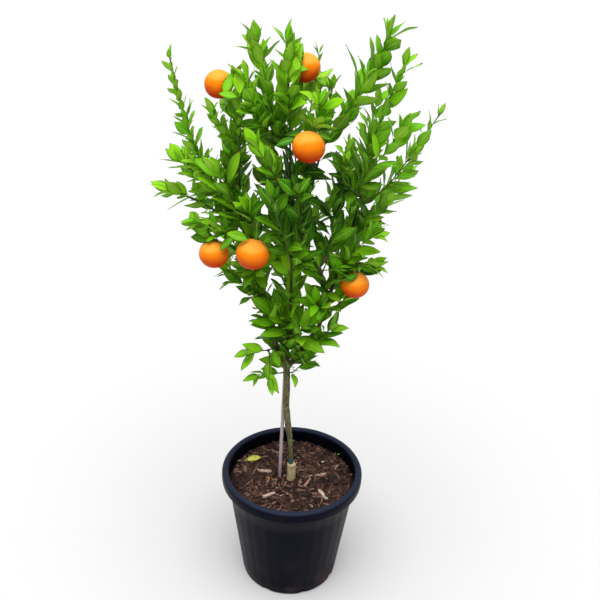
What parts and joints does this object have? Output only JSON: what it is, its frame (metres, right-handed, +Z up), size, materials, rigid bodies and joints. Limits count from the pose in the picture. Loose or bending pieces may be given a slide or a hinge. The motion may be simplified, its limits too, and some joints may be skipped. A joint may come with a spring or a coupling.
{
  "type": "potted mandarin tree",
  "caption": "Young grafted citrus tree with ripe round fruit and upright leafy twigs, standing in a round rim-rolled nursery pot of bark mulch beside a thin stake.",
  "frame": {"origin": "middle of the pot's flat underside, on the pot's axis, at the level of the ground", "axes": "+Z up along the pot's axis and the trunk, +X to the right and -Y to the viewer of the front"},
  "size_m": [0.5719, 0.4136, 1.3319],
  "materials": {
    "pot": "satin",
    "mulch": "matte",
    "bark_chip": "matte",
    "fallen_leaf": "satin",
    "rootstock": "matte",
    "budding_tape": "satin",
    "stake": "matte",
    "tree_bark": "matte",
    "peel": "satin",
    "leaf": "satin"
  },
  "bodies": {
    "root": {"bark_chip_1": "bark_chip", "bark_chip_2": "bark_chip", "bark_chip_3": "bark_chip", "bark_chip_4": "bark_chip", "budding_tape": "budding_tape", "fallen_leaf": "fallen_leaf", "mandarin_1": "peel", "mandarin_2": "peel", "mandarin_3": "peel", "mandarin_4": "peel", "mandarin_5": "peel", "mandarin_6": "peel", "pot": "pot", "potting_mix": "mulch", "rootstock": "rootstock", "stake": "stake", "trunk_and_limbs": "tree_bark", "twig_back_crown_left": "leaf", "twig_back_crown_right": "leaf", "twig_back_deep": "leaf", "twig_back_left_high": "leaf", "twig_back_left_mid": "leaf", "twig_back_left_wide": "leaf", "twig_back_low": "leaf", "twig_back_low_left": "leaf", "twig_back_low_right": "leaf", "twig_back_right_high": "leaf", "twig_back_right_mid": "leaf", "twig_back_right_wide": "leaf", "twig_back_top": "leaf", "twig_far_left": "leaf", "twig_far_right": "leaf", "twig_front_left": "leaf", "twig_front_middle": "leaf", "twig_front_right": "leaf", "twig_front_rising": "leaf", "twig_front_upper": "leaf", "twig_left_front": "leaf", "twig_left_front_high": "leaf", "twig_left_low": "leaf", "twig_left_lowest": "leaf", "twig_left_outer": "leaf", "twig_left_upright": "leaf", "twig_left_wide": "leaf", "twig_low_front": "leaf", "twig_low_left": "leaf", "twig_low_right": "leaf", "twig_right_front": "leaf", "twig_right_front_high": "leaf", "twig_right_high": "leaf", "twig_right_low": "leaf", "twig_right_lower": "leaf", "twig_right_middle": "leaf", "twig_top_between": "leaf", "twig_top_left": "leaf", "twig_top_middle": "leaf", "twig_top_right": "leaf", "twig_trunk_left": "leaf", "twig_trunk_right": "leaf", "twig_upper_left": "leaf"}
  },
  "joints": []
}
